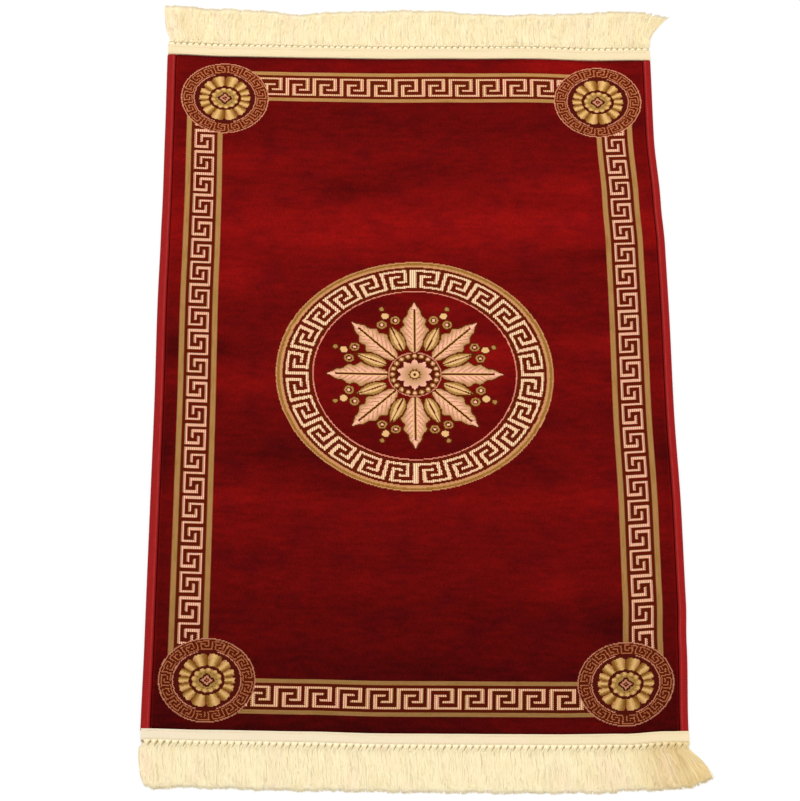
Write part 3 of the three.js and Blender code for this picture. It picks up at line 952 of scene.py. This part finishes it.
def buildTape(name, node, end):
    halfWidth, halfLength = rug["width"] / 2, rug["length"] / 2
    profile = np.array(tape["top"] + tape["under"], float)
    profile[:, 0] = hemmed(profile[:, 0], end)
    steps = round(2 * halfWidth / tape["step"])
    stations = np.linspace(-halfWidth, halfWidth, steps + 1)
    size = len(profile)
    outward = np.broadcast_to(profile[:, 0], (len(stations), size))
    height = np.tile(profile[:, 1], (len(stations), 1))
    across = np.broadcast_to(stations[:, None], outward.shape)
    onFace = (profile[:, 1] > 3) & (np.arange(size) >= tape["face"][0])
    rib = np.sin(2 * math.pi * across / tape["ribPitch"] + 0.6 * np.sin(across / 9))
    slack = 0.10 * np.sin(across / 23) + 0.07 * np.sin(across / 7.3 + 1)
    height = height + onFace * (rib * tape["ribHeight"] + slack)
    x, y = layOut(across, end * (halfLength + outward))
    points = list(np.stack([x, y, height], -1).reshape(-1, 3))
    faces = wallFaces(len(stations), size).tolist()
    faces.append(list(range(size))[::-1])
    faces.append([(len(stations) - 1) * size + spot for spot in range(size)])
    weave = list(np.stack([across, outward, np.zeros_like(outward)], -1).reshape(-1, 3))

    # two rows of running stitches
    top = np.array(tape["top"], float)[slice(*tape["face"])]
    stitch = tape["stitch"]
    stitchFaces = []
    for seam in tape["seams"]:
        seamHeight = np.interp(seam, top[:, 0], top[:, 1]) + 0.08
        count = int((2 * halfWidth - 6) / stitch["pitch"])
        for number in range(count):
            at = -halfWidth + 3 + number * stitch["pitch"]
            ends = []
            for offset in (0, stitch["length"]):
                here = at + offset
                px, py = layOut(here, end * (halfLength + hemmed(seam, end) + chance.normal(0, 0.06)))
                ends.append(np.array([px, py, seamHeight + 0.10 * math.sin(here / 23)]))
            before = len(points)
            stitchFaces += capsule(points, ends[0], ends[1], stitch["radius"])
            weave += [np.array([at, seam, 1.0])] * (len(points) - before)
    if end > 0:
        faces = [face[::-1] for face in faces]
    weave = np.array(weave)
    places = np.stack([weave[:, 0] / 510 + 0.5, weave[:, 1] / 30 + weave[:, 2] * 0.4 + 0.02], -1)
    middleWhite, whiteLoss = tape["whiteness"]
    whiter = middleWhite - whiteLoss * weave[:, 0] if end < 0 else np.zeros(len(weave))
    return makePiece(
        name, np.array(points), faces + stitchFaces, node,
        numbers={"whiter": np.clip(whiter, 0, 1)}, vectors={"weave": weave}, uv=places,
    )


def tapeMaterial():
    material, tree, shader = newMaterial("heading_tape_cotton")
    dyes = tapeDyes
    across, outward, isStitch = readVector(tree, "weave")
    rib = (across * (2 * math.pi / tape["ribPitch"]) + (across / 9).sine() * 0.6).sine()
    warp = (outward * (2 * math.pi / 1.1)).sine()
    stain = noise(tree, vector(tree, across * 0.03, outward * 0.15), 1.0, 3.0)
    washed = noise(tree, vector(tree, across * 0.045, outward * 0.1, 5.0), 1.0, 2.0)
    colour = paint(tree, dyes["cotton"], (stain - 0.4) * 0.9, dyes["shade"])
    colour = paint(tree, colour, (washed - 0.45) * 2.4, dyes["rosy"])
    colour = paint(tree, colour, isStitch.above(0.5), dyes["cotton"])
    colour = paint(tree, colour, readNumber(tree, "whiter"), dyes["white"])
    colour = shaded(tree, colour, 0.98 + rib * 0.02 + warp * 0.015)
    tree.links.new(colour.socket, shader.inputs["Base Color"])
    shader.inputs["Roughness"].default_value = 0.85
    shader.inputs["Specular IOR Level"].default_value = 0.2
    shader.inputs["Sheen Weight"].default_value = 0.1
    bump(tree, shader, warp * 0.5 + rib, 0.35, 0.00015)
    return material


tapeFinish = tapeMaterial()
farTape = buildTape("tape_far", "heading_tape_far", 1)
nearTape = buildTape("tape_near", "heading_tape_near", -1)
for strip in (farTape, nearTape):
    strip.data.materials.append(tapeFinish)


fringe = {
    "bundles": 78,
    "inset": 1,  # how far the outermost bundles stay from each edge
    "strands": 50,  # loose ones on each bundle
    "locks": 2.2,  # locks that the loose strands of a bundle cling to
    "toneSpan": 6.4,  # how wide a bundle counts for its colour
    # where the points of a packed bundle and of a loose strand are: 0 where they begin to spread,
    # 1 at the tip, and below 0 the bound root that comes out of the tape
    "packedStations": [-0.068, -0.065, -0.045, -0.02, 0.02, 0.06, 0.1, 0.16, 0.3, 0.5, 0.7, 0.85, 1.0],
    "strandStations": [0.0, 0.09, 0.17, 0.32, 0.5, 0.68, 0.85, 1.0],
    "radius": 0.34,
    "spread": {1: 17.6, -1: 13.8},  # at each end, how far out from the pile its strands begin to spread
    "gathered": 0.8,  # a bundle's width where it is bound, as a share of its pitch
    "opens": (-0.015, 0.085),  # where a bundle spreads until it meets the next
    "slant": 1.5,  # how far a bundle's root leans sideways
    "rootHeight": 3.0,  # a bundle's packed strands, from root to tip
    "rootRise": 2.55,  # more where they come out of the tape
    "tipHeight": 1.0,
    "loose": 0.45,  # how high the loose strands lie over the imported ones
    "packedTo": 0.95,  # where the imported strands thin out
    "backing": (-3.2, 6.0, 2.8),  # woven header under the roots: from and to by the spread, thickness
    # the bake's left edge and width, and its near edge and depth, out from the rug's middle
    "bakeAcross": (-265, 545),
    "bakeAlong": (405, 72),
}

# how the fringe lies: across, then the far end's reach, lean and bow, and the near end's
fringeLie = [
    (-250, 71.0, -7.0, -2.4, 57.0, 4.5, -3.5),
    (-236, 70.0, -1.5, -1.6, 59.5, 2.0, -1.5),
    (-205, 67.0, 3.0, -0.4, 58.5, 1.0, 0),
    (-170, 66.0, 5.0, 0, 59.5, 0.0, 0),
    (-118, 60.5, 5.0, 0, 61.0, 0.0, 0),
    (-80, 65.0, 4.0, 0, 61.0, 0.0, 0),
    (10, 68.0, 3.0, 0, 62.0, 0.0, 0),
    (92, 63.0, 2.0, 0, 62.0, 0.0, 0),
    (160, 65.5, 2.0, 0, 61.5, 1.0, 0),
    (205, 69.0, 4.0, 0, 58.0, 5.0, 0),
    (236, 70.0, 9.0, -0.8, 56.0, 13.5, 0.5),
    (250, 62.0, 22.5, -2.2, 44.5, 21.5, 5.5),
]

# bundles pulled tighter at the root, which leaves a wider gap, and a fuller one at a corner:
# end, across from, across to, share of width
tightRoots = [(-1, -250, -222, 0.72), (-1, 175, 232, 0.86), (1, -242, -228, 0.9), (1, -250, -242, 1.35)]

# places where the fringe is painted darker and yellower: end, across, reach, how much
darkerSpots = [
    (-1, 236, 55, 0.9),
    (-1, -240, 45, 0.06),
    (-1, 175, 40, 0.2),
    (1, 240, 45, 0.1),
    (1, -245, 60, 0.1),
]

fringeDyes = {
    "cotton": dye(255, 242, 204),
    "deep": dye(236, 210, 152),
    "rosy": dye(255, 233, 206),
    # the header's darker tan is partly painted shade in the gaps between the bundles' roots
    "header": dye(206, 190, 146),
}


def bundlePath(end, centre, within, down):
    # where strands lie: centre and within place them across the fringe and across their bundle,
    # down runs from 0 at the root to 1 at the tip
    pitch = (rug["width"] - 2 * fringe["inset"]) / fringe["bundles"]
    halfLength = rug["length"] / 2
    reachColumn, leanColumn, bowColumn = (1, 2, 3) if end > 0 else (4, 5, 6)
    across = centre + within * pitch
    rootX, rootY = layOut(centre, np.full_like(centre, end * (halfLength + fringe["spread"][end])))
    tipY = end * (halfLength + readTable(fringeLie, reachColumn, across))
    gathered = np.full_like(centre, fringe["gathered"])
    for where, low, high, share in tightRoots:
        gathered = np.where((centre > low) & (centre < high) & (where == end), gathered * share, gathered)
    opened = smoothStep((down - fringe["opens"][0]) / (fringe["opens"][1] - fringe["opens"][0]))
    bound = smoothStep((down + 0.064) / 0.03) * (1 - opened)
    slope = np.clip(down, 0, 1)
    x = rootX + within * pitch * (1.03 + (gathered - 1.03) * bound)
    x = x + readTable(fringeLie, leanColumn, across) * slope ** 1.5
    x = x + readTable(fringeLie, bowColumn, across) * np.sin(math.pi * slope)
    leaning = 2 * smoothStep((down + 0.068) / 0.17) - 1
    x = x + end * fringe["slant"] * leaning * smoothStep((0.42 - down) / 0.32)
    return x, rootY, tipY, bound, slope


def packedHeight(within, down, bound, slope):
    # top of a bundle's packed strands: round where it is bound, nearly level where the bundles meet
    height = fringe["rootHeight"] + (fringe["tipHeight"] - fringe["rootHeight"]) * slope ** 0.8
    height = height + fringe["rootRise"] * smoothStep((0.12 - down) / 0.18)
    crown = 1 - (0.04 + 0.34 * bound) * np.abs(2 * within) ** (5 - 2.5 * bound)
    return height * crown


def buildFringe(name, node, end):
    halfLength = rug["length"] / 2
    halfSpan = rug["width"] / 2 - fringe["inset"]
    bundles = np.arange(fringe["bundles"])
    centres = -halfSpan + (bundles + 0.5) * 2 * halfSpan / fringe["bundles"]
    cut = 0.5 * np.sin(bundles * 2.4) + 0.6 * np.sin(bundles * 0.9)  # unevenness left by the shears
    stations = np.array(fringe["packedStations"])

    def darkeningAt(across):
        amount = 0.0
        for where, middleAcross, reach, most in darkerSpots:
            if where == end:
                amount = amount + most * (1 - smoothStep(np.abs(across - middleAcross) / reach))
        return amount

    # packed strands: one soft body for each bundle
    around = np.array([-0.5, -0.48, -0.4, -0.25, -0.08, 0.08, 0.25, 0.4, 0.48, 0.5])
    size = len(around) + 2
    spots = np.concatenate([around, [0.45, -0.45]])
    centre = np.broadcast_to(centres[:, None, None], (len(bundles), len(stations), size)).copy()
    within = np.broadcast_to(spots, centre.shape).copy()
    down = np.broadcast_to(stations[:, None] * fringe["packedTo"], centre.shape)
    x, rootY, tipY, bound, slope = bundlePath(end, centre, within, down)
    y = rootY + (tipY + end * cut[:, None, None] - rootY) * down
    z = np.maximum(packedHeight(within, down, bound, slope), 0.25)
    z = z + 0.12 * np.sin(centre * 1.7 + down * 7) * slope
    z[..., len(around):] = 0.05
    z[..., [0, len(around) - 1]] *= 0.7
    packed = np.stack([x, y, z], -1).reshape(-1, 3)
    ring = wallFaces(len(stations), size)
    starts = np.arange(len(bundles))[:, None, None] * len(stations) * size
    packedFaces = (ring[None] + starts).reshape(-1, 4).tolist()
    for number in range(len(bundles)):
        first = number * len(stations) * size
        last = first + (len(stations) - 1) * size
        packedFaces.append([first + spot for spot in range(size)][::-1])
        packedFaces.append([last + spot for spot in range(size)])
    if end > 0:
        packedFaces = [face[::-1] for face in packedFaces]
    packedAcross = (centre + within * fringe["toneSpan"]).ravel()
    endShading = 0.12 if end > 0 else -0.06  # painted shade: the far fringe is painted a little darker and yellower, the near one a little lighter
    packedThread = np.stack([0.06 + endShading + darkeningAt(packedAcross), down.ravel(), packedAcross], -1)

    # loose strands on top of them, some clinging together in locks
    count = fringe["bundles"] * fringe["strands"]
    bundle = np.repeat(bundles, fringe["strands"])
    across = chance.uniform(-0.5, 0.5, count)
    layer = chance.uniform(0, 1, count) ** 1.4
    tone = chance.uniform(0, 1, count)
    lock = np.floor((across + 0.5) * fringe["locks"])
    lockMiddle = (lock + 0.5) / fringe["locks"] - 0.5
    lockSway = np.sin((bundle * 7 + lock) * 12.9898) * 0.8
    waves = chance.uniform([0.6, 0, 0.1, -1.6], [1.6, 2 * math.pi, 0.5, 1.6], (count, 4))
    waveLength, wavePhase, waveSize, tipDrift = [column[:, None] for column in waves.T]
    stations = np.array(fringe["strandStations"])
    down = np.broadcast_to(stations, (count, len(stations)))
    cling = 0.3 * smoothStep((down - 0.3) / 0.7)
    place = across[:, None] * (1 - cling) + lockMiddle[:, None] * cling
    centre = np.broadcast_to(centres[bundle][:, None], down.shape).copy()
    x, rootY, tipY, bound, slope = bundlePath(end, centre, place, down)
    tipY = tipY + end * (cut[bundle] + chance.normal(0, 0.6, count))[:, None]
    y = rootY + (tipY - rootY) * down
    x = x + waveSize * np.sin(wavePhase + down * 6.3 * waveLength) * smoothStep(down / 0.4)
    x = x + (tipDrift + lockSway[:, None]) * slope ** 2
    z = packedHeight(place, down, bound, slope) + fringe["loose"] * layer[:, None] * (1 - 0.4 * slope)
    z = z * (1 - 0.4 * smoothStep((down - 0.85) / 0.15)) + 0.06 * np.sin(wavePhase * 2 + down * 9) * slope
    z = np.maximum(z, fringe["radius"])
    paths = np.stack([x, y, z], -1)
    points, faces = tubes(paths, fringe["radius"] * (1 - 0.35 * np.clip(stations, 0, 1)))
    perStrand = len(stations) * 3
    slopes = np.repeat(down.ravel(), 3)
    strandAcross = centres[bundle] + across * fringe["toneSpan"]
    shade = 0.16 * tone + endShading + darkeningAt(strandAcross)
    thread = np.stack([np.repeat(shade, perStrand), slopes, np.repeat(strandAcross, perStrand)], -1)

    # the woven header that holds the roots
    start, stop, thick = fringe["backing"]
    low, high = fringe["spread"][end] + start, fringe["spread"][end] + stop
    spread = np.linspace(-halfSpan, halfSpan, 241)
    profile = np.array([(low, 0.0), (low, thick), (high, thick * 0.6), (high, 0.0)])
    headerAcross = np.repeat(spread, 4)
    outward = np.tile(profile[:, 0], len(spread))
    hx, hy = layOut(headerAcross, end * (halfLength + outward))
    header = np.stack([hx, hy, np.tile(profile[:, 1], len(spread))], -1)
    headerFaces = wallFaces(len(spread), 4).tolist()
    last = 4 * (len(spread) - 1)
    headerFaces += [[3, 2, 1, 0], [last, last + 1, last + 2, last + 3]]
    if end > 0:
        headerFaces = [face[::-1] for face in headerFaces]
    headerThread = np.stack([np.full(len(header), 0.5), np.full(len(header), -1.0), headerAcross], -1)

    parts = [
        (points, faces, thread),
        (packed, packedFaces, packedThread),
        (header, headerFaces, headerThread),
    ]
    allPoints = np.concatenate([part[0] for part in parts])
    allThreads = np.concatenate([part[2] for part in parts])
    allFaces = []
    first = 0
    for partPoints, partFaces, _ in parts:
        allFaces += [[first + spot for spot in face] for face in partFaces]
        first += len(partPoints)
    left, span = fringe["bakeAcross"]
    nearest, medallionShade = fringe["bakeAlong"]
    places = np.stack([
        (allPoints[:, 0] - left) / span,
        0.02 + 0.96 * np.clip((np.abs(allPoints[:, 1]) - nearest) / medallionShade, 0, 1),
    ], -1)
    return makePiece(
        name, allPoints, allFaces, node, vectors={"thread": allThreads}, uv=places,
    )


def tubes(paths, radii):
    # three-sided threads along many paths at once, closed at the tip
    count, steps = paths.shape[:2]
    tangent = np.gradient(paths, axis=1)
    tangent = tangent / np.linalg.norm(tangent, axis=2, keepdims=True)
    sideways = np.cross(tangent, np.array([0, 0, 1.0]))
    sideways = sideways / np.linalg.norm(sideways, axis=2, keepdims=True)
    up = np.cross(sideways, tangent)
    angles = np.array([90, 210, 330]) * math.pi / 180
    rings = [
        paths + (sideways * math.cos(angle) + up * math.sin(angle)) * radii[None, :, None]
        for angle in angles
    ]
    points = np.stack(rings, 2).reshape(-1, 3)
    faces = wallFaces(steps, 3)
    starts = np.arange(count)[:, None, None] * steps * 3
    quads = (faces[None] + starts).reshape(-1, 4).tolist()
    tips = (np.arange(count)[:, None] * steps * 3 + (steps - 1) * 3 + np.array([0, 1, 2])[None]).tolist()
    return points, quads + tips


def fringeMaterial():
    material, tree, shader = newMaterial("fringe_cotton")
    dyes = fringeDyes
    tone, down, across = readVector(tree, "thread")
    patches = noise(tree, vector(tree, across * 0.08, down * 2.2), 1.0, 3.0)
    colour = paint(tree, dyes["cotton"], tone + (patches - 0.5) * 0.7, dyes["deep"])
    rosyAt = noise(tree, vector(tree, across * 0.05, down * 0.8, 4.0), 1.0, 1.0)
    colour = paint(tree, colour, (rosyAt - 0.5) * 2.0, dyes["rosy"])
    # the header under the roots, painted darker as the shade in the gaps between bundles
    colour = paint(tree, colour, down.below(-0.5), dyes["header"])
    twist = (down * 240 + across * 2.0).sine()
    colour = shaded(tree, colour, 0.99 + twist * 0.015)
    tree.links.new(colour.socket, shader.inputs["Base Color"])
    shader.inputs["Roughness"].default_value = 0.75
    shader.inputs["Specular IOR Level"].default_value = 0.2
    shader.inputs["Sheen Weight"].default_value = 0.1
    return material


fringeFinish = fringeMaterial()
farFringe = buildFringe("fringe_strands_far", "fringe_far", 1)
nearFringe = buildFringe("fringe_strands_near", "fringe_near", -1)
for strands in (farFringe, nearFringe):
    strands.data.materials.append(fringeFinish)

print("rug pieces done")


studio = {
    "floor": (0.95, 0.95, 0.95),
    "floorWhite": 0.8,  # share of the floor that shows as plain white
    "worldLevel": 0.78,
    # name, place in metres from the rug's middle, aim, size, watts
    "lamps": [
        ("key_lamp", (-0.6, 1.3, 2.8), 2.4, 41),
        ("fill_lamp", (1.4, -1.8, 2.2), 2.6, 15),
    ],
}

shot = {
    "azimuth": -2.253,
    "elevation": 55.029,
    "roll": 2.382,
    "distance": 3.5811,
    "aim": (-12.2, -34.6, 7.0),  # rug millimetres
    "lens": 166.3,
}


def onlySeen(tree):
    # 1 for rays that show the surface to the eye: straight, mirrored or through glass
    path = tree.nodes.new("ShaderNodeLightPath")
    seen = Wire(tree, path.outputs["Is Camera Ray"])
    seen = seen.orElse(Wire(tree, path.outputs["Is Glossy Ray"]))
    return seen.orElse(Wire(tree, path.outputs["Is Transmission Ray"]))


def makeFloor():
    reach = 6.0
    mesh = bpy.data.meshes.new("floor")
    corners = [(-reach, -reach, 0), (reach, -reach, 0), (reach, reach, 0), (-reach, reach, 0)]
    mesh.from_pydata(corners, [], [(0, 1, 2, 3)])
    floor = bpy.data.objects.new("floor", mesh)
    bpy.context.scene.collection.objects.link(floor)
    material, tree, shader = newMaterial("pale_floor")
    shader.inputs["Base Color"].default_value = (*studio["floor"], 1)
    shader.inputs["Roughness"].default_value = 0.9
    shader.inputs["Specular IOR Level"].default_value = 0.1
    glow = tree.nodes.new("ShaderNodeEmission")
    glow.inputs["Color"].default_value = (1, 1, 1, 1)
    blend = tree.nodes.new("ShaderNodeMixShader")
    plug(tree, onlySeen(tree) * studio["floorWhite"], blend.inputs[0])
    tree.links.new(shader.outputs[0], blend.inputs[1])
    tree.links.new(glow.outputs[0], blend.inputs[2])
    tree.links.new(blend.outputs[0], tree.nodes["Material Output"].inputs["Surface"])
    mesh.materials.append(material)
    return floor


def makeWorld():
    world = bpy.data.worlds.new("white_surround")
    bpy.context.scene.world = world
    world.use_nodes = True
    tree = world.node_tree
    sky = tree.nodes["Background"]
    sky.inputs["Color"].default_value = (1, 1, 1, 1)
    plug(tree, pick(tree, onlySeen(tree), 1.0, studio["worldLevel"]), sky.inputs["Strength"])


def aimedAt(place, target):
    back = np.array(place, float) - np.array(target, float)
    back = back / np.linalg.norm(back)
    right = np.cross([0, 1, 0] if abs(back[2]) > 0.99 else [0, 0, 1], back)
    right = right / np.linalg.norm(right)
    up = np.cross(back, right)
    return right, up, back


def poseFrom(right, up, back, place):
    rows = [[right[i], up[i], back[i], place[i]] for i in range(3)]
    return Matrix(rows + [[0, 0, 0, 1]])


def makeLamps():
    for name, place, size, watts in studio["lamps"]:
        light = bpy.data.lights.new(name, "AREA")
        light.shape = "DISK"
        light.size = size
        light.energy = watts
        lamp = bpy.data.objects.new(name, light)
        bpy.context.scene.collection.objects.link(lamp)
        lamp.matrix_world = poseFrom(*aimedAt(place, (0, 0, 0)), place)


def makeCamera():
    turn, tilt = math.radians(shot["azimuth"]), math.radians(shot["elevation"])
    roll = math.radians(shot["roll"])
    back = np.array([math.sin(turn) * math.cos(tilt), -math.cos(turn) * math.cos(tilt), math.sin(tilt)])
    right = np.array([math.cos(turn), math.sin(turn), 0])
    up = np.cross(back, right)
    rolledRight = math.cos(roll) * right + math.sin(roll) * up
    rolledUp = -math.sin(roll) * right + math.cos(roll) * up
    aim = (np.array(shot["aim"]) + middle) * 0.001
    view = bpy.data.cameras.new("camera")
    view.lens = shot["lens"]
    view.clip_start = 0.1
    view.clip_end = 50
    camera = bpy.data.objects.new("camera", view)
    bpy.context.scene.collection.objects.link(camera)
    camera.matrix_world = poseFrom(rolledRight, rolledUp, back, aim + back * shot["distance"])
    bpy.context.scene.camera = camera


makeFloor()
makeWorld()
makeLamps()
makeCamera()
bpy.context.scene.view_settings.view_transform = "Standard"
print("room, lamps and camera done")
